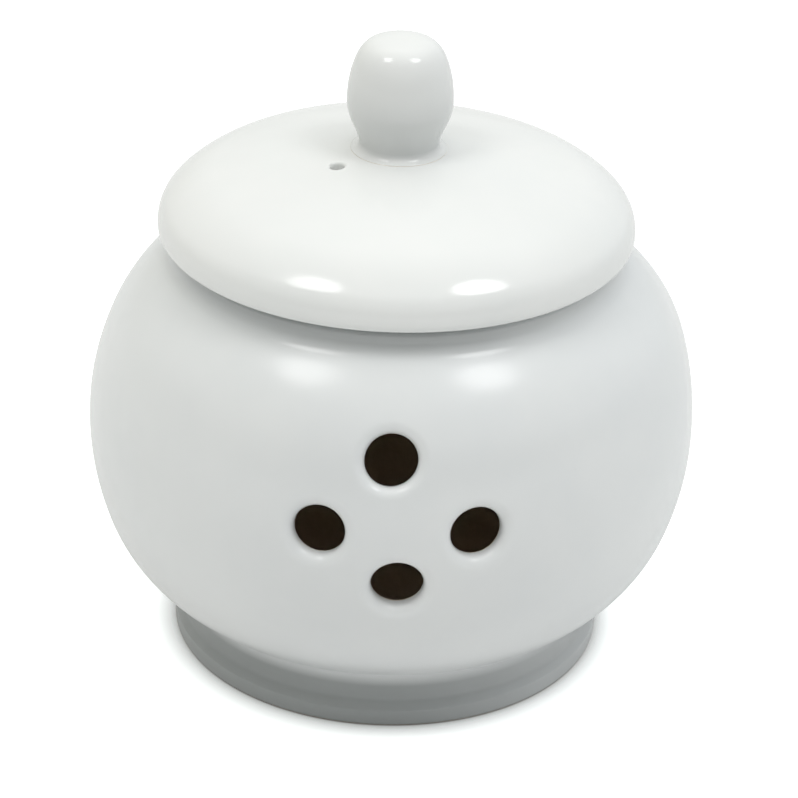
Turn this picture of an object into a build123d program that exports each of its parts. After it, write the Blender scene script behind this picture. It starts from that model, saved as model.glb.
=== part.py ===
from build123d import *
import os
from math import acos, asin, atan2, cos, degrees, radians, sin, sqrt

# Garlic keeper in glazed slip-cast earthenware: a pot-bellied jar on a foot ring with four vents
# punched through the front of its belly, and a loose domed lid with a hollow egg-shaped knob.
# Millimetres. The axis is Z, the table is Z = 0 and the vents face -Y.

os.makedirs("parts", exist_ok=True)

# Belly: three arcs that run into each other, measured in degrees from level
belly_r = 60.0
flank_arc = 55.8
haunch_arc = 31.5
shoulder_arc = 32.0
haunch_from = 19.0
shoulder_from = 20.0
wall = 3.6

# Foot ring and the hollow under the floor
foot_r = 43.3
foot_band = 3.5
foot_ring = 5.0
foot_hollow = 3.5
foot_edge = 0.8
band_edge = 0.3
well_corner = 1.5
cove_rise = 1.6
cove_round = 1.5
waist_in = 1.4
waist_z = 7.4
waist_flare = 3.8
waist_rise = 6.11
floor_thick = 5.0
floor_corner = 12.0

# Collar and mouth
collar_r = 43.5
collar_wall = 4.5
collar_tall = 3.81
rim_edge = 1.3
collar_root = 1.0
mouth_corner = 2.0

# Vents: four holes in a diamond, placed in degrees round from the front and in height above the
# widest ring, the top one punched a little to the left
vent_r = 5.0
vent_lip = 2.1
vent_inner_lip = 0.7
side_vent_az = 14.4
side_vent_up = 5.0
top_vent_az = -1.4
top_vent_up = 19.5
bottom_vent_az = 0.2
bottom_vent_up = -5.7

# Lid: crown, haunch and rim arcs, again tangent to each other, then an upright band as narrow as a
# thread and the arc that turns in under the rim
lid_overhang = 2.4
lid_tall = 17.9
crown_arc = 230.0
lid_haunch_arc = 52.0
rim_over_arc = 8.0
rim_under_arc = 2.9
rim_band = 0.2
lid_wall = 4.5
ceiling_corner = 2.0

# Locating flange under the lid, loose in the mouth
flange_gap = 0.8
flange_wall = 3.6
flange_deep = 6.0
flange_edge = 1.2
flange_root = 0.6

# Steam hole through the lid, beside the knob
steam_r = 1.35
steam_lip = 0.5
steam_at = (-11.8, -8.1)

# Knob: egg-shaped shell with the neck it was poured through dropped into a hole in the lid. Points
# of its outline are given inward from its widest ring, then the brow and shoulder down from its
# top, the flank down from its widest ring and the root up from the lid
knob_r = 10.2
knob_widest_up = 9.6
knob_tall = 22.3
knob_brow = (3.5, 1.3)
knob_shoulder = (1.0, 5.6)
knob_flank = (1.15, 4.3)
knob_root = (2.5, 0.8)
glaze_spread = 0.7
knob_wall = 3.6
neck_hole_r = 4.5
neck_gap = 0.1
neck_wall = 1.5
neck_deep = 2.6

waist_r = foot_r - waist_in
foot_in_r = foot_r - foot_ring
floor_z = foot_hollow + floor_thick
mouth_r = collar_r - collar_wall
flange_r = mouth_r - flange_gap
lid_r = collar_r + lid_overhang

# Arc centres from the waist up: the haunch stands on the waist's flare, the flank and shoulder run
# on from it, and the rim stands on the collar
flank_x = belly_r - flank_arc
haunch_x = flank_x + (flank_arc - haunch_arc) * cos(radians(haunch_from))
haunch_to = degrees(acos((waist_r + waist_flare - haunch_x) / haunch_arc))
haunch_c = (haunch_x, waist_z + waist_rise + haunch_arc * sin(radians(haunch_to)))
belly_z = haunch_c[1] + (flank_arc - haunch_arc) * sin(radians(haunch_from))
flank_c = (flank_x, belly_z)
shoulder_c = (
    flank_x + (flank_arc - shoulder_arc) * cos(radians(shoulder_from)),
    belly_z + (flank_arc - shoulder_arc) * sin(radians(shoulder_from)),
)
rim_z = shoulder_c[1] + sqrt(shoulder_arc**2 - (collar_r - shoulder_c[0]) ** 2) + collar_tall


def shoulder_angle(arc, r):
    """Degrees above level at which a shoulder arc of this radius has closed in to r."""
    return 90 - degrees(asin((r - shoulder_c[0]) / arc))


def from_axis(edge):
    """How far out from the Z axis an edge's middle lies."""
    middle = edge.bounding_box().center()
    return sqrt(middle.X**2 + middle.Y**2)


# Jar: turned outside with its foot, then the cavity and the hollow of the foot taken out
with BuildPart() as jar:
    with BuildSketch(Plane.XZ) as jar_outside:
        with BuildLine():
            haunch = CenterArc(haunch_c, haunch_arc, -haunch_to, haunch_to - haunch_from)
            CenterArc(flank_c, flank_arc, -haunch_from, haunch_from + shoulder_from)
            turn = shoulder_angle(shoulder_arc, collar_r) - shoulder_from
            shoulder = CenterArc(shoulder_c, shoulder_arc, shoulder_from, turn)
            Polyline(shoulder @ 1, (collar_r, rim_z), (0, rim_z), (0, 0), (foot_r, 0), (foot_r, foot_band))
            cove = Line((foot_r, foot_band), (waist_r, foot_band + cove_rise))
            waist = Line(cove @ 1, (waist_r, waist_z))
            Spline(waist @ 1, haunch @ 0, tangents=[(0, 1), haunch % 0])
        make_face()
        fillet(jar_outside.vertices().sort_by_distance(shoulder @ 1)[0], collar_root)
        fillet(jar_outside.vertices().sort_by_distance(cove @ 1)[0], cove_round)
        fillet(jar_outside.vertices().sort_by_distance((foot_r, foot_band))[0], band_edge)
        fillet(jar_outside.vertices().sort_by_distance((foot_r, 0))[0], foot_edge)
    revolve(axis=Axis.Z)

    with BuildSketch(Plane.XZ) as cavity:
        with BuildLine():
            lower = CenterArc(haunch_c, haunch_arc - wall, -haunch_to, haunch_to - haunch_from)
            CenterArc(flank_c, flank_arc - wall, -haunch_from, haunch_from + shoulder_from)
            turn = shoulder_angle(shoulder_arc - wall, mouth_r) - shoulder_from
            upper = CenterArc(shoulder_c, shoulder_arc - wall, shoulder_from, turn)
            tuck = lower % 0
            floor_edge = lower @ 0 - tuck * (((lower @ 0).Y - floor_z) / tuck.Y)
            Polyline(lower @ 0, floor_edge, (0, floor_z), (0, rim_z), (mouth_r, rim_z), upper @ 1)
        make_face()
        fillet(cavity.vertices().sort_by_distance(floor_edge)[0], floor_corner)
        fillet(cavity.vertices().sort_by_distance(upper @ 1)[0], mouth_corner)
    revolve(axis=Axis.Z, mode=Mode.SUBTRACT)

    with BuildSketch(Plane.XZ) as foot_well:
        with Locations((foot_in_r / 2, foot_hollow / 2)):
            Rectangle(foot_in_r, foot_hollow)
        fillet(foot_well.vertices().sort_by_distance((foot_in_r, foot_hollow))[0], well_corner)
    revolve(axis=Axis.Z, mode=Mode.SUBTRACT)
    rings = jar.edges().filter_by(GeomType.CIRCLE).group_by(Axis.Z)
    fillet(rings[0].sort_by(SortBy.RADIUS)[0], foot_edge)
    fillet(rings[-1], rim_edge)

    # Each vent is punched towards the centre of the flank arc
    for az, up in (
        (top_vent_az, top_vent_up),
        (-side_vent_az, side_vent_up),
        (side_vent_az, side_vent_up),
        (bottom_vent_az, bottom_vent_up),
    ):
        level = Vector(sin(radians(az)), -cos(radians(az)), 0)
        tilt = asin(up / flank_arc)
        out = level * cos(tilt) + Vector(0, 0, sin(tilt))
        arc_centre = level * flank_c[0] + Vector(0, 0, belly_z)
        with BuildSketch(Plane(arc_centre + out * (flank_arc - 3 * wall), z_dir=out)):
            Circle(vent_r)
        extrude(amount=5 * wall, mode=Mode.SUBTRACT)

    # Lips of the vents: the small roundings inside first, then the wide ones outside
    for lip, end in ((vent_inner_lip, 0), (vent_lip, -1)):
        bores = jar.faces().filter_by(GeomType.CYLINDER).filter_by(lambda f: abs(f.radius - vent_r) < 0.001)
        fillet(ShapeList(bore.edges().sort_by(from_axis)[end] for bore in bores), lip)
jar.part.label = "jar"
export_step(jar.part, "parts/jar.step")

# Lid: a thick domed shell with a flat seat for the jar's rim and a flange that centres it. Its
# haunch arc runs into the crown arc and the rim arc, so the three centres stand in a triangle
crown_c = Vector(0, rim_z + lid_tall - crown_arc)
rim_c = Vector(lid_r - rim_over_arc, rim_z + rim_under_arc + rim_band)
to_crown = crown_arc - lid_haunch_arc
to_rim = lid_haunch_arc - rim_over_arc
span = rim_c - crown_c
along = (to_crown**2 - to_rim**2 + span.length**2) / (2 * span.length)
aside = sqrt(to_crown**2 - along**2)
lid_haunch_c = crown_c + (span * along + Vector(-span.Y, span.X) * aside) / span.length
crown_to = degrees(atan2(lid_haunch_c.X, lid_haunch_c.Y - crown_c.Y))
lid_haunch_to = degrees(atan2(rim_c.X - lid_haunch_c.X, rim_c.Y - lid_haunch_c.Y))
knob_root_r = knob_r - knob_root[0]
knob_foot_r = knob_root_r + glaze_spread
land_z = crown_c.Y + sqrt(crown_arc**2 - knob_foot_r**2)
land_to = degrees(asin(knob_foot_r / crown_arc))

with BuildPart() as lid:
    with BuildSketch(Plane.XZ) as lid_outside:
        with BuildLine():
            crown = CenterArc(crown_c, crown_arc, 90 - land_to, land_to - crown_to)
            CenterArc(lid_haunch_c, lid_haunch_arc, 90 - crown_to, crown_to - lid_haunch_to)
            rim = CenterArc(rim_c, rim_over_arc, 90 - lid_haunch_to, lid_haunch_to - 90)
            flange_z = rim_z - flange_deep
            Polyline(rim @ 1, (lid_r, rim_z), (flange_r, rim_z), (flange_r, flange_z), (0, flange_z))
            Polyline((0, flange_z), (0, land_z), crown @ 0)
        make_face()
        fillet(lid_outside.vertices().sort_by_distance((lid_r, rim_z))[0], rim_under_arc)
        fillet(lid_outside.vertices().sort_by_distance((flange_r, rim_z))[0], flange_root)
    revolve(axis=Axis.Z)

    with BuildSketch(Plane.XZ) as under:
        with BuildLine():
            ceiling_r = flange_r - flange_wall
            ceiling = CenterArc(crown_c, crown_arc - lid_wall, 90, -crown_to)
            side_arc = lid_haunch_arc - lid_wall
            side_to = degrees(asin((ceiling_r - lid_haunch_c.X) / side_arc))
            side = CenterArc(lid_haunch_c, side_arc, 90 - crown_to, crown_to - side_to)
            Polyline(side @ 1, (ceiling_r, flange_z), (0, flange_z), ceiling @ 0)
        make_face()
        fillet(under.vertices().sort_by_distance(side @ 1)[0], ceiling_corner)
    revolve(axis=Axis.Z, mode=Mode.SUBTRACT)
    fillet(lid.edges().filter_by(GeomType.CIRCLE).group_by(Axis.Z)[0], flange_edge)

    # Hole for the knob's neck in the middle of its flat land, and the steam hole
    with BuildSketch(Plane.XY.offset(land_z)):
        Circle(neck_hole_r)
        with Locations(steam_at):
            Circle(steam_r)
    extrude(amount=-1.5 * lid_wall, mode=Mode.SUBTRACT)
    bores = lid.faces().filter_by(GeomType.CYLINDER).filter_by(lambda f: abs(f.radius - steam_r) < 0.001)
    fillet(bores[0].edges().sort_by(Axis.Z)[-1], steam_lip)
lid.part.label = "lid"
export_step(lid.part, "parts/lid.step")

# Knob: hollow egg on a small spread of glaze, drawn from the flat land it stands on
with BuildPart() as lid_knob:
    on_land = Plane(origin=(0, 0, land_z), x_dir=(1, 0, 0), z_dir=(0, -1, 0))
    neck_r = neck_hole_r - neck_gap
    top = (0, knob_tall)
    brow = (knob_r - knob_brow[0], knob_tall - knob_brow[1])
    shoulder = (knob_r - knob_shoulder[0], knob_tall - knob_shoulder[1])
    widest = (knob_r, knob_widest_up)
    flank = (knob_r - knob_flank[0], knob_widest_up - knob_flank[1])
    root = (knob_root_r, knob_root[1])
    with BuildSketch(on_land):
        with BuildLine():
            Spline(root, flank, widest, tangents=[(0.3, 1), (0, 1)])
            Spline(widest, shoulder, brow, top, tangents=[(0, 1), (-1, 0)])
            Polyline(top, (0, -neck_deep), (neck_r, -neck_deep), (neck_r, 0), (knob_foot_r, 0))
            TangentArc((knob_foot_r, 0), root, tangent=(-1, 0.1))
        make_face()
    revolve(axis=Axis.Z)

    with BuildSketch(on_land):
        with Locations((0, knob_widest_up)):
            Ellipse(knob_r - knob_wall, knob_tall - knob_wall - knob_widest_up)
        with Locations((0, -neck_deep)):
            Rectangle(2 * (neck_r - neck_wall), neck_deep + knob_widest_up, align=(Align.CENTER, Align.MIN))
            Rectangle(knob_foot_r, knob_tall + neck_deep, align=(Align.MIN, Align.MIN), mode=Mode.INTERSECT)
    revolve(axis=Axis.Z, mode=Mode.SUBTRACT)
lid_knob.part.label = "lid_knob"
export_step(lid_knob.part, "parts/lid_knob.step")
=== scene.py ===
import bmesh
import bpy
import numpy as np
from mathutils import Matrix, Vector


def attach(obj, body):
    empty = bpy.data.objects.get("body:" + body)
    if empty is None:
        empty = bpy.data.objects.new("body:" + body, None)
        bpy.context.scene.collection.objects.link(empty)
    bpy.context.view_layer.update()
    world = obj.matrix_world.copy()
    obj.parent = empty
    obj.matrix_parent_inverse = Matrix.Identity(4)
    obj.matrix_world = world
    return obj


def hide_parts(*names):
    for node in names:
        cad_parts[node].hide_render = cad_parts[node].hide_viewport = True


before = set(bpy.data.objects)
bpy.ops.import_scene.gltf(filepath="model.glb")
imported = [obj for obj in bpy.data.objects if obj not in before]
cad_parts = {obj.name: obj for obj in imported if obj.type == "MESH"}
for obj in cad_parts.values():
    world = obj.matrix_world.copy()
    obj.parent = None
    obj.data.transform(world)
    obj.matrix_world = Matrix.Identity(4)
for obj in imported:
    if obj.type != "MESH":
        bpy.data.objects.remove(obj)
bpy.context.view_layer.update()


# Jar: slip-cast in one piece of earthenware, its wall following three arcs from the foot ring up to
# a short collar. Four vents are punched square to the belly while the clay is soft, and glaze then
# rounds their lips. The inside and the face of the foot ring are left bare.
mm = 0.001
jar_wall = 3.6
haunch = (27.18, 38.99, 31.5)  # each arc of the belly: centre radius, centre height and radius
flank = (4.2, 46.9, 55.8)
shoulder = (26.56, 55.04, 32.0)
haunch_to, flank_to = -19.0, 20.0  # the lean of the wall, in degrees above level, where each arc ends
foot_r, foot_in, foot_tall, foot_edge = 43.3, 38.3, 3.5, 0.8
waist_r, waist_low, waist_high = 41.9, 5.1, 10.75
floor_z, floor_corner = 8.5, 12
collar_r, collar_root = 43.5, 82.19
mouth_r, mouth_root = 39.0, 80.57
rim_z, rim_edge = 86.0, 1.3


def belly_arc(lean):
    """Centre radius, centre height and radius of the arc that the wall follows at each lean."""
    which = np.searchsorted((haunch_to, flank_to), lean)
    return np.array((haunch, flank, shoulder))[which].transpose(-1, *range(np.ndim(lean)))


def belly(lean, depth):
    """Radius and height of the wall where its normal leans that many degrees above level: out from
    the arc's centre along the normal, by the arc's radius less the depth under the glaze."""
    r, z, arc = belly_arc(lean)
    lean = np.radians(lean)
    return np.stack((r + (arc - depth) * np.cos(lean), z + (arc - depth) * np.sin(lean)), -1)


def to_belly(points, axis, depth):
    """Points moved along axis until they lie that deep in the belly's wall: each step adds what is
    missing between the arc's radius, less the depth, and the distance from the arc's centre."""
    for _ in range(6):
        out = np.hypot(points[..., 0], points[..., 1])
        r, z, arc = belly_arc(np.degrees(np.arctan2(points[..., 2] - flank[1], out - flank[0])))
        missing = arc - depth - np.hypot(out - r, points[..., 2] - z)
        points = points + axis * missing[..., None]
    return points


def plain(points):
    """Outline points, of radius and height, that get no rounding."""
    return np.hstack((points, np.zeros((len(points), 1))))


def rounded(corners, steps=6):
    """Outline through corners of (radius, height, rounding). A corner with a rounding becomes an arc
    that touches both its sides: points at that distance from a centre on the corner's bisector."""
    corners = np.array(corners, float)
    here, rounding = corners[1:-1, :2], corners[1:-1, 2:]
    before = corners[:-2, :2] - here
    after = corners[2:, :2] - here
    before /= np.linalg.norm(before, axis=1, keepdims=True)
    after /= np.linalg.norm(after, axis=1, keepdims=True)
    half = np.arccos(np.clip((before * after).sum(1, keepdims=True), -1, 1)) / 2
    bisector = before + after
    bisector /= np.maximum(np.linalg.norm(bisector, axis=1, keepdims=True), 1e-9)
    centre = here + bisector * rounding / np.sin(half)
    share = np.linspace(0, 1, steps)[None, :, None]
    spoke = (1 - share) * (here + before * rounding / np.tan(half) - centre)[:, None] + share * (
        here + after * rounding / np.tan(half) - centre)[:, None]
    spoke /= np.maximum(np.linalg.norm(spoke, axis=2, keepdims=True), 1e-9)
    arc = centre[:, None] + spoke * rounding[:, None]
    runs = [arc[i] if rounding[i, 0] else here[i:i + 1] for i in range(len(here))]
    return np.vstack([corners[:1, :2], *runs, corners[-1:, :2]])


def turned(outline, columns):
    """An outline of radius and height carried round the Z axis, starting at the back of the pot."""
    turn = np.linspace(0, 2 * np.pi, columns, endpoint=False)
    r, z = outline[:, :1], outline[:, 1:]
    return np.stack((r * np.sin(turn), r * np.cos(turn), z + 0 * turn), -1)


def shell(outline, columns):
    """The outline turned, the numbers of its vertices row by row, and for each quad whether it is
    kept and which finish it has: at first all are kept and have finish 0."""
    grid = turned(outline, columns)
    number = np.arange(len(outline) * columns).reshape(-1, columns)
    kept = np.ones((len(outline) - 1, columns), bool)
    return grid, number, kept, np.zeros(kept.shape, int)


def row_of(outline, point):
    """Number of the outline's point that lies nearest to the given one."""
    return int(np.argmin(np.abs(outline - point).sum(1)))


def ring_faces(index):
    """Quads between neighbouring rows of vertex numbers, each row a closed ring."""
    along = np.roll(index, -1, 1)
    return np.stack((index[:-1], along[:-1], along[1:], index[1:]), -1).reshape(-1, 4)


def punch(wall_grid, count, centre, axis, across, cut, hole, lips, to_wall, wall):
    """Cuts a round hole through a double wall. Quads nearer the hole's axis than cut go, and rings
    about the axis fill the gap, each point at its rim neighbour's angle: over the outer surface,
    round a quarter-ellipse lip, down the bore, round the inner lip and back to the inner surface.
    wall_grid holds the grid, its vertex numbers, which quads are kept, where the outer and the inner
    rows start, and how many they are. to_wall slides points along the axis to a depth. Gives the new
    points, numbered from count, their faces, and how many rings past the outer lip each face is."""
    grid, number, kept, first_out, first_in, rows = wall_grid
    outside, inside = slice(first_out, first_out + rows), slice(first_in + rows - 1, first_in - 1, -1)
    rise = np.cross(axis, across)
    from_centre = grid[outside] - centre
    aside, above = from_centre @ across, from_centre @ rise
    near = np.hypot(aside, above)
    near[from_centre @ axis < -20] = np.inf  # 20 mm and more behind the hole is the pot's far side
    pairs = near + np.roll(near, -1, 1)
    gone = (pairs[:-1] + pairs[1:]) / 4 < cut
    kept[first_out:first_out + rows - 1][gone] = False
    kept[first_in:first_in + rows - 1][gone[::-1]] = False
    padded = np.pad(gone, ((1, 1), (0, 0))).astype(int)
    touching = padded[:-1] + padded[1:] + np.roll(padded, 1, 1)[:-1] + np.roll(padded, 1, 1)[1:]
    row, column = np.nonzero((touching > 0) & (touching < 4))
    angle = np.arctan2(above[row, column], aside[row, column])
    order = np.argsort(angle)
    row, column, angle = row[order], column[order], angle[order]
    spoke = np.cos(angle)[:, None] * across + np.sin(angle)[:, None] * rise
    reach_out = near[row, column][:, None]
    reach_in = np.linalg.norm(np.cross(grid[inside][row, column] - centre, axis), axis=1)[:, None]
    lip, lip_depth, inner_lip = lips

    def at(radius, depth):
        return to_wall(centre + radius * spoke, axis, depth)

    rings = [at(reach_out + (hole + lip - reach_out) * f, 0) for f in (0.3, 0.6, 0.85)]
    for roll in np.radians(np.linspace(0, 90, 9)):
        rings.append(at(hole + lip * (1 - np.sin(roll)), 0) - axis * lip_depth * (1 - np.cos(roll)))
    lip_rings = len(rings)
    rings.append((rings[-1] + at(hole, wall) + axis * inner_lip) / 2)
    for roll in np.radians(np.linspace(90, 0, 5)):
        rings.append(at(hole + inner_lip * (1 - np.sin(roll)), wall) + axis * inner_lip * (1 - np.cos(roll)))
    rings += [at(hole + inner_lip + (reach_in - hole - inner_lip) * f, wall) for f in (0.3, 0.7)]
    rings = np.array(rings)
    index = np.vstack((
        number[outside][row, column], count + np.arange(rings[..., 0].size).reshape(len(rings), -1),
        number[inside][row, column]))
    past = np.repeat(np.arange(len(index) - 1) - lip_rings, len(row))
    return rings.reshape(-1, 3), ring_faces(index), past


def make_piece(name, points, faces, finish, materials):
    """Puts millimetre points and quads into a mesh, closes its seams and poles and turns every face
    outwards. finish numbers each face's material."""
    mesh = bpy.data.meshes.new(name)
    mesh.from_pydata((points * mm).tolist(), [], faces.tolist())
    mesh.polygons.foreach_set("material_index", finish)
    for material in materials:
        mesh.materials.append(material)
    work = bmesh.new()
    work.from_mesh(mesh)
    bmesh.ops.remove_doubles(work, verts=work.verts, dist=0.002 * mm)
    bmesh.ops.delete(work, geom=[v for v in work.verts if not v.link_faces], context="VERTS")
    bmesh.ops.recalc_face_normals(work, faces=work.faces)
    work.to_mesh(mesh)
    work.free()
    mesh.shade_smooth()
    piece = bpy.data.objects.new(name, mesh)
    bpy.context.scene.collection.objects.link(piece)
    return piece


# The outline runs from under the foot up the outside, over the rim and down the inside
columns = 288
belly_rows = 74
lean = np.linspace(-53, 50, belly_rows)  # from the waist to the collar's root
outer_belly, under_collar = belly(lean, 0), belly(np.array((52.3,)), 0)
inner_belly, under_mouth = belly(lean[::-1], jar_wall), belly(np.array((60.0, 57.0, 53.5)), jar_wall)
outline = rounded([
    (0, foot_tall, 0), (20, foot_tall, 0), (foot_in, foot_tall, 1.5), (foot_in, 0, foot_edge),
    (foot_r, 0, foot_edge), (foot_r, foot_tall, 0.5), (waist_r, waist_low, 1.5), (waist_r, waist_high, 6.5),
    *plain(outer_belly), *plain(under_collar), (collar_r, collar_root, 4.2),
    (collar_r, rim_z, rim_edge), (mouth_r, rim_z, rim_edge), (mouth_r, mouth_root, 2.0),
    *plain(under_mouth), *plain(inner_belly), (32.7, floor_z, floor_corner),
    (14, floor_z, 0), (0, floor_z, 0),
])
grid, number, kept, finish = shell(outline, columns)
first_out, first_in = row_of(outline, outer_belly[0]), row_of(outline, inner_belly[0])
finish[first_in - len(under_mouth) - 1:] = 1  # bare from just inside the mouth
low_down, inside_edge = outline[:-1, 1] < foot_edge + 0.01, outline[:-1, 0] < foot_r - 0.3
finish[low_down & inside_edge] = 1  # and on the foot ring's face

# Vents: turn round from the front and lean of the wall, in degrees
vent_r, vent_cut = 4.9, 8.6  # the hole, and the round patch of quads that makes way for it
vent_lips = (2.5, 2.1, 0.7)  # reach and depth of the outer lip, radius of the inner one
points, faces, finishes, count = [grid.reshape(-1, 3)], [], [], number.size
for turn, up in ((-2.0, 20.45), (-14.4, 5.14), (14.4, 5.14), (0.2, -5.86)):
    face, tip = np.radians(turn), np.radians(up)
    across = np.array((np.cos(face), np.sin(face), 0))
    axis = np.array((np.sin(face) * np.cos(tip), -np.cos(face) * np.cos(tip), np.sin(tip)))
    r, z = belly(np.array(up), 0)
    ring_points, ring_quads, past = punch(
        (grid, number, kept, first_out, first_in, belly_rows), count,
        np.array((r * np.sin(face), -r * np.cos(face), z)),
        axis, across, vent_cut, vent_r, vent_lips, to_belly, jar_wall)
    points.append(ring_points)
    faces.append(ring_quads)
    finishes.append((past > 1).astype(int))  # glazed down the bore, bare from the inner lip on
    count += len(ring_points)
points = np.vstack(points)
faces = np.vstack((ring_faces(number)[kept.ravel()], *faces))
finishes = np.concatenate((finish[kept], *finishes))

# The shoulder slumped a little to one side in the kiln
slump, slump_z, slump_spread = 0.6, 71, 12
points[:, 0] += slump * np.exp(-((points[:, 2] - slump_z) / slump_spread) ** 2)


# Glaze on the jar, lid and knob: white and opaque, fired glossy but soft, with slow clouds of tone,
# faint waves from running in the kiln, and a few pin marks. Painted shade greys it on the foot ring,
# at the jar's collar and rim and low on the knob, less so on the right. The lid and knob are glossier, and
# their glaze is painted a little lighter for the light they get.
tall = 126  # the whole keeper


def add_node(tree, kind, inputs=(), **settings):
    """Adds one node with its settings. inputs gives, by socket, values or other nodes' outputs."""
    made = tree.nodes.new(kind)
    for key, value in settings.items():
        setattr(made, key, value)
    for socket, value in dict(inputs).items():
        if isinstance(value, bpy.types.NodeSocket):
            tree.links.new(value, made.inputs[socket])
        else:
            made.inputs[socket].default_value = value
    return made


def maths(tree, operation, *values):
    """Numbers or other nodes' outputs put through one operation."""
    return add_node(tree, "ShaderNodeMath", enumerate(values), operation=operation).outputs[0]


def blend(tree, share, dark, light):
    """A colour between two, dark where share is 0; each colour is a triple or another node's output."""
    dark, light = ((*colour, 1) if isinstance(colour, tuple) else colour for colour in (dark, light))
    return add_node(tree, "ShaderNodeMix", {0: share, 6: dark, 7: light}, data_type="RGBA").outputs[2]


def ramp(tree, value, low, high, to_low, to_high):
    """Value carried smoothly from the span low-high to the span to_low-to_high."""
    spans = {"Value": value, "From Min": low, "From Max": high, "To Min": to_low, "To Max": to_high}
    return add_node(tree, "ShaderNodeMapRange", spans, interpolation_type="SMOOTHSTEP").outputs["Result"]


def ware(name, light, shade, painted_shade_colour, painted_shade_at, roughness, waves, grain):
    """A fired surface: clouds of colour 25 mm across, a painted shade colour by its share at each height
    in mm, less of it towards +X where more light falls, pin marks half a millimetre wide in one cell of
    ten, roughness that drifts in swells, and a surface that waves by waves mm in swells and by grain mm
    in the fine."""
    mat = bpy.data.materials.new(name)
    mat.use_nodes = True
    tree = mat.node_tree
    place = add_node(tree, "ShaderNodeTexCoord").outputs["Object"]
    cloud, swell, fine = (
        add_node(tree, "ShaderNodeTexNoise", {
            "Vector": place, "Scale": scale, "Detail": detail, "Roughness": rough}).outputs["Fac"]
        for scale, detail, rough in ((38.0, 3.0, 0.55), (55.0, 1.0, 0.5), (900.0, 2.0, 0.5)))
    tone = blend(tree, ramp(tree, cloud, 0.3, 0.7, 0.0, 1.0), shade, light)

    at = add_node(tree, "ShaderNodeSeparateXYZ", {0: place})
    way_up = maths(tree, "MULTIPLY", at.outputs["Z"], 1 / (tall * mm))
    # Painted shade: a grey laid on by height where shade falls
    painted_shade_bands = add_node(tree, "ShaderNodeValToRGB", {0: way_up})
    stops = painted_shade_bands.color_ramp.elements
    stops[0].color, stops[1].color = (1, 1, 1, 1), (0, 0, 0, 1)
    for height, share in painted_shade_at:
        stops.new(height / tall).color = (share, share, share, 1)
    # Painted light: less of the painted shade towards the right, where more light falls
    painted_shade_less_on_right = ramp(tree, at.outputs["X"], 0.0, 40 * mm, 1.0, 0.55)
    tone = blend(tree, maths(tree, "MULTIPLY", painted_shade_bands.outputs[0], painted_shade_less_on_right), tone, painted_shade_colour)

    pin = add_node(tree, "ShaderNodeTexVoronoi", {"Vector": place, "Scale": 120.0})
    chosen = add_node(tree, "ShaderNodeSeparateColor", {0: pin.outputs["Color"]}).outputs[0]
    mark = maths(
        tree, "MULTIPLY", ramp(tree, pin.outputs["Distance"], 0.018, 0.034, 0.35, 0.0),
        ramp(tree, chosen, 0.88, 0.93, 0.0, 1.0))
    tone = blend(tree, mark, tone, tuple(0.55 * c * warm for c, warm in zip(shade, (1.0, 0.94, 0.82))))

    relief = None
    for texture, reach in ((swell, waves), (fine, grain)):
        bump = add_node(tree, "ShaderNodeBump", {"Height": texture, "Strength": 1.0, "Distance": reach * mm})
        if relief:
            tree.links.new(relief, bump.inputs["Normal"])
        relief = bump.outputs[0]
    shader = tree.nodes["Principled BSDF"]
    shader.inputs["IOR"].default_value = 1.5
    drift = ramp(tree, swell, 0.25, 0.75, roughness - 0.03, roughness + 0.04)
    for socket, output in (("Base Color", tone), ("Roughness", drift), ("Normal", relief)):
        tree.links.new(output, shader.inputs[socket])
    return mat


# Painted shade: the grey and its share at each height in mm, on the foot ring, the collar and rim, and the
# knob's lower part
painted_shade_grey = (0.41, 0.43, 0.43)
painted_shade_grey_at = [
    (8.3, 1), (11.2, 0), (80.5, 0), (82.6, 0.42), (84.3, 0.78), (86.5, 0.85), (87, 0),
    (103.5, 0), (104.3, 0.05), (105.2, 0.42), (112, 0.34), (118, 0.14), (123, 0.06)]
glaze = ware(
    "white_glaze", (0.84, 0.857, 0.857), (0.81, 0.83, 0.835), painted_shade_grey, painted_shade_grey_at,
    roughness=0.21, waves=0.12, grain=0.002)
# Painted light: the lid's copy of the glaze is lighter than the jar's to stand in for the light on the lid;
# it is also glossier
lid_glaze_painted_lighter = ware(
    "white_glaze_lid_painted_lighter", (0.882, 0.892, 0.88), (0.86, 0.875, 0.865), painted_shade_grey, painted_shade_grey_at,
    roughness=0.13, waves=0.12, grain=0.002)
# Bare clay, with painted shade at the foot ring's contact: darker in the lowest millimetre
clay = ware(
    "buff_clay", (0.96, 0.84, 0.71), (0.91, 0.77, 0.63), (0.5, 0.4, 0.3), [(0.5, 1), (1.0, 0)],
    roughness=0.85, waves=0.1, grain=0.05)
jar = make_piece("jar_glazed", points, faces, finishes, [glaze, clay])
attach(jar, "jar")
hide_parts("jar")


# Lid: slip-cast dome laid on the jar's rim, its flange loose in the mouth. Crown, haunch and rim are
# arcs that run into each other. The steam hole is pierced beside the knob, and the flange and the
# hollow are left bare.
lid_wall = 4.5
crown_arc, haunch_arc, rim_arc = 120.4, 21.05, 6.99
crown_z = -16.36  # height of the crown's centre
land_r, land_z = 8.4, 103.747  # the flat that the knob stands on
neck_hole_r, neck_hole_mid, neck_hole_low = 4.5, 101, 99.3
lid_r, lid_side_low, seat_r = 46.19, 87.0, 43.2
flange_r, flange_root = mouth_r - 0.8, 0.6
flange_in, flange_z, flange_top = 34.6, 80, 94.2


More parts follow.
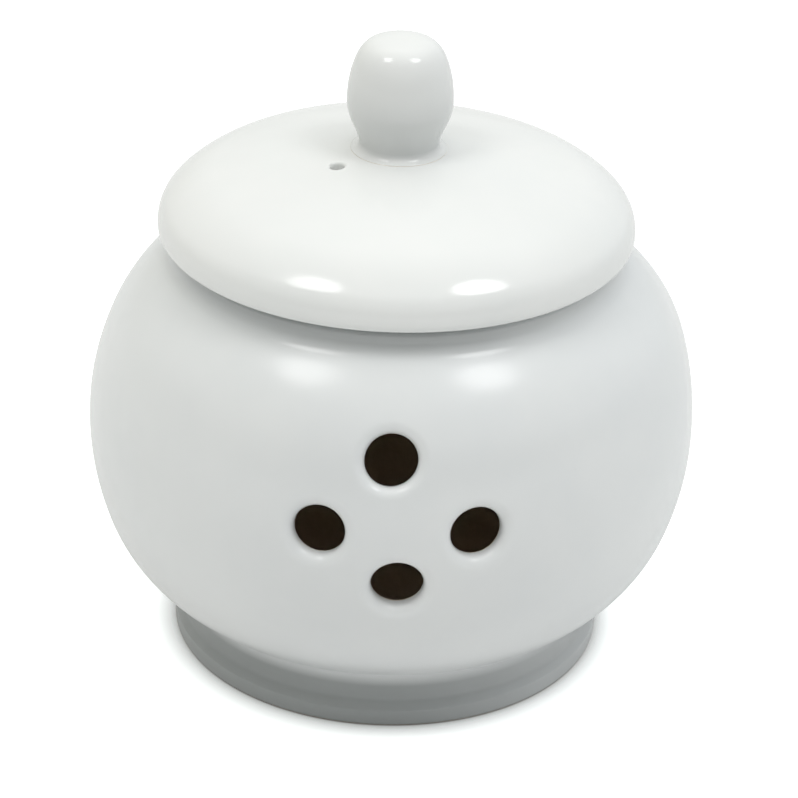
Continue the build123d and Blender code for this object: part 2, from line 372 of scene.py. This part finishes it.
def chain(start, lean, arcs):
    """Arcs that run into each other from start on. Each has its radius and the leans of its points,
    in degrees from upright, and goes on from where the last one ended."""
    points, leans = [np.array([start], float)], [np.array([lean], float)]
    for arc, to in arcs:
        from_here = np.radians(leans[-1][-1])
        points.append(points[-1][-1] + arc * np.stack((
            np.sin(np.radians(to)) - np.sin(from_here), np.cos(np.radians(to)) - np.cos(from_here)), -1))
        leans.append(to)
    return np.vstack(points), np.concatenate(leans)


def to_crown(points, axis, depth):
    """Points moved up or down to that depth under the crown, a sphere."""
    r2 = points[..., 0] ** 2 + points[..., 1] ** 2
    return np.concatenate((points[..., :2], crown_z + np.sqrt((crown_arc - depth) ** 2 - r2)[..., None]), -1)


# The outline runs up the neck hole, over the dome, round the rim and the flange and back along the
# ceiling
pierced_rows = 27
over, leans = chain((land_r, land_z), 4.0, (
    (crown_arc, np.linspace(4.1, 9.0, pierced_rows)), (crown_arc, np.linspace(9.5, 17.13, 13)),
    (haunch_arc, np.linspace(17.9, 45, 24)), (rim_arc, np.linspace(47.5, 90, 18))))
ceiling = (over - lid_wall * np.stack((np.sin(np.radians(leans)), np.cos(np.radians(leans))), -1))[::-1]
ceiling = ceiling[ceiling[:, 0] < 33]  # as far as the flange's corner
outline = rounded([
    (neck_hole_r, neck_hole_mid, 0), (neck_hole_r, land_z, 0), *plain(over), (lid_r, lid_side_low, 1.7),
    (seat_r, rim_z, 0.5), (flange_r, rim_z, flange_root), (flange_r, flange_z, 1.2),
    (flange_in, flange_z, 1.2), (flange_in, flange_top, 2.0),
    *plain(ceiling), (neck_hole_r, neck_hole_low, 0), (neck_hole_r, neck_hole_mid, 0),
])
grid, number, kept, finish = shell(outline, columns)
first_out, first_in = row_of(outline, over[1]), row_of(outline, ceiling[-pierced_rows - 1])
bare_from = row_of(outline, (flange_r + flange_root, rim_z))
finish[bare_from:first_in + pierced_rows] = 1

steam_x, steam_y = -11.8, -8.1
steam_r, steam_cut = 1.35, 2.5
steam_lips = (0.6, 0.6, 0.2)
ring_points, ring_quads, _ = punch(
    (grid, number, kept, first_out, first_in, pierced_rows), number.size,
    to_crown(np.array((steam_x, steam_y, 0)), None, 0), np.array((0.0, 0.0, 1.0)), np.array((1.0, 0.0, 0.0)),
    steam_cut, steam_r, steam_lips, to_crown, lid_wall)
lid = make_piece(
    "lid_glazed", np.vstack((grid.reshape(-1, 3), ring_points)),
    np.vstack((ring_faces(number)[kept.ravel()], ring_quads)),
    np.concatenate((finish[kept], np.zeros(len(ring_quads), int))), [lid_glaze_painted_lighter, clay])
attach(lid, "lid")
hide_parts("lid")


# Knob: hollow cast egg, a separate casting whose pouring neck drops into the lid's hole. It is stuck
# down with slip, and the glaze has run out round its root.
def smooth_curve(through, start, end, steps):
    """Curve through points: a cubic for each gap, its slopes solved so that curvature runs on from
    one gap to the next; start and end are the directions at its ends."""
    p = np.array(through, float)
    gap = np.linalg.norm(np.diff(p, axis=0), axis=1)
    slope_of, wanted = np.eye(len(p)), np.zeros((len(p), 2))
    wanted[0] = np.array(start) / np.linalg.norm(start)
    wanted[-1] = np.array(end) / np.linalg.norm(end)
    i = np.arange(1, len(p) - 1)
    slope_of[i, i - 1], slope_of[i, i], slope_of[i, i + 1] = gap[i], 2 * (gap[i - 1] + gap[i]), gap[i - 1]
    before, after = gap[i - 1][:, None], gap[i][:, None]
    wanted[i] = 3 * (before / after * (p[i + 1] - p[i]) + after / before * (p[i] - p[i - 1]))
    slope = np.linalg.solve(slope_of, wanted)
    t = np.linspace(0, 1, steps, endpoint=False)[None, :, None]
    a, b, g = p[:-1, None], p[1:, None], gap[:, None, None]
    spans = (2 * t**3 - 3 * t**2 + 1) * a + (t**3 - 2 * t**2 + t) * g * slope[:-1, None] + (
        3 * t**2 - 2 * t**3) * b + (t**3 - t**2) * g * slope[1:, None]
    return np.vstack((spans.reshape(-1, 2), p[-1:]))


# All with radius and height over the lid's flat
root, narrowest, widest, top = (9.3, 0.0), (7.75, 1.5), (10.2, 9.6), (0, 22.3)
egg = np.vstack((
    smooth_curve([root, (8.2, 0.35), narrowest], (-1, 0), (0.1, 1), 7)[:-1],
    smooth_curve([narrowest, (9.05, 5.3), widest], (0.1, 1), (0, 1), 14)[:-1],
    smooth_curve([widest, (9.2, 16.7), (6.7, 21.0), top], (0, 1), (-1, 0), 12)))
hollow_r, hollow_half = 6.6, 9.1
swing = np.linspace(0, 2.68, 30)
hollow = np.stack((hollow_r * np.sin(swing), widest[1] + hollow_half * np.cos(swing)), -1)
neck_in, neck_r, neck_low, underside = 2.9, 4.4, -2.6, -0.05
pouring_neck = [
    (neck_in, 0.3), (neck_in, neck_low), (neck_r, neck_low), (neck_r, underside), (root[0], underside)]
outline = np.vstack((hollow, pouring_neck, egg)) + (0, land_z)
knob_columns = 160
grid, number, kept, finish = shell(outline, knob_columns)
finish[:len(hollow) + len(pouring_neck)] = 1
knob = make_piece("knob_glazed", grid.reshape(-1, 3), ring_faces(number), finish.ravel(), [lid_glaze_painted_lighter, clay])
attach(knob, "lid")
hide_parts("lid_knob")


# Floor: a plain white sweep that stays white to the camera and keeps the keeper's soft shadow.
# Where the ware stands close over it the lift gives way, so the shadow under the foot stays.
bpy.ops.mesh.primitive_plane_add(size=6)
floor = bpy.context.object
floor.name = "floor"
mat = bpy.data.materials.new("white_sweep")
mat.use_nodes = True
tree = mat.node_tree
tree.nodes.clear()
close = add_node(
    tree, "ShaderNodeAmbientOcclusion", {"Color": (0.88, 0.905, 0.9, 1), "Distance": 5 * mm}, samples=8)
lift = maths(tree, "MULTIPLY", close.outputs["AO"], 0.58)
seen_matt = add_node(tree, "ShaderNodeBsdfDiffuse", {"Color": close.outputs["Color"]})
glow = add_node(tree, "ShaderNodeEmission", {"Color": (0.98, 1, 0.995, 1), "Strength": lift})
seen_floor = add_node(tree, "ShaderNodeAddShader", {0: seen_matt.outputs[0], 1: glow.outputs[0]})
matt = add_node(tree, "ShaderNodeBsdfDiffuse", {"Color": (0.87, 0.87, 0.87, 1)})
to_camera = add_node(tree, "ShaderNodeLightPath").outputs["Is Camera Ray"]
pick = add_node(tree, "ShaderNodeMixShader", {0: to_camera, 1: matt.outputs[0], 2: seen_floor.outputs[0]})
add_node(tree, "ShaderNodeOutputMaterial", {0: pick.outputs[0]})
floor.data.materials.append(mat)


# Light: a white room, brightest overhead and behind and dark low down in front, and two round
# softboxes above the camera's left and right.
world = bpy.data.worlds.new("white_room")
bpy.context.scene.world = world
world.use_nodes = True
tree = world.node_tree
tree.nodes.clear()
way = add_node(tree, "ShaderNodeSeparateXYZ", {0: add_node(tree, "ShaderNodeTexCoord").outputs["Generated"]})
low = ramp(tree, way.outputs["Z"], 0.15, 0.42, 1.0, 0.0)
front = ramp(tree, way.outputs["Y"], -0.85, -0.1, 1.0, 0.0)
behind = ramp(tree, way.outputs["Y"], -0.2, 0.8, 0.0, 1.0)
level = ramp(tree, way.outputs["Z"], 0.6, 0.97, 0.43, 1.2)
level = maths(tree, "MULTIPLY_ADD", maths(tree, "MULTIPLY", low, front), -0.42, level)
level = maths(tree, "MULTIPLY_ADD", behind, 0.28, level)
rightwards = ramp(tree, way.outputs["X"], -0.9, 0.9, 0.0, 1.0)
tint = blend(tree, rightwards, (0.94, 0.935, 0.87), (1.05, 1.08, 1.1))
room = add_node(tree, "ShaderNodeBackground", {"Color": tint, "Strength": level})
white = add_node(tree, "ShaderNodeBackground", {"Color": (1, 1, 1, 1), "Strength": 1.0})
to_camera = add_node(tree, "ShaderNodeLightPath").outputs["Is Camera Ray"]
pick = add_node(tree, "ShaderNodeMixShader", {0: to_camera, 1: room.outputs[0], 2: white.outputs[0]})
add_node(tree, "ShaderNodeOutputWorld", {0: pick.outputs[0]})

softbox_size, softbox_climb, softbox_away = 0.38, 58, 1.15
softbox_aim = Vector((0, 0, 0.06))
for side, watts in ((-57, 2.1), (57, 2.2)):
    turn, climb = np.radians((side, softbox_climb))
    lamp = bpy.data.lights.new("softbox", "AREA")
    lamp.shape = "DISK"
    lamp.size = softbox_size
    lamp.energy = watts
    box = bpy.data.objects.new("softbox", lamp)
    bpy.context.scene.collection.objects.link(box)
    way_to = Vector((np.sin(turn) * np.cos(climb), -np.cos(turn) * np.cos(climb), np.sin(climb)))
    box.location = softbox_aim + way_to * softbox_away
    box.rotation_euler = (-way_to).to_track_quat("-Z", "Y").to_euler()


# Camera: looks down 27.9 degrees on the front, turned 2 degrees and tipped 1.8 degrees.
azimuth, elevation, tip = np.radians((-2.0, 27.883, 1.786))
back = Vector((np.sin(azimuth) * np.cos(elevation), -np.cos(azimuth) * np.cos(elevation), np.sin(elevation)))
sideways = Vector((np.cos(azimuth), np.sin(azimuth), 0))
rise = back.cross(sideways)
right = sideways * np.cos(tip) + rise * np.sin(tip)
up = rise * np.cos(tip) - sideways * np.sin(tip)
target = Vector((0.001521, -0.000053, 0.04925))
camera_away = 0.6
lens = bpy.data.cameras.new("camera")
lens.lens = 135.53
lens.sensor_width = 36
camera = bpy.data.objects.new("camera", lens)
bpy.context.scene.collection.objects.link(camera)
facing = Matrix((right, up, back)).transposed().to_4x4()
camera.matrix_world = Matrix.Translation(target + back * camera_away) @ facing
bpy.context.scene.camera = camera
bpy.context.scene.view_settings.view_transform = "Standard"
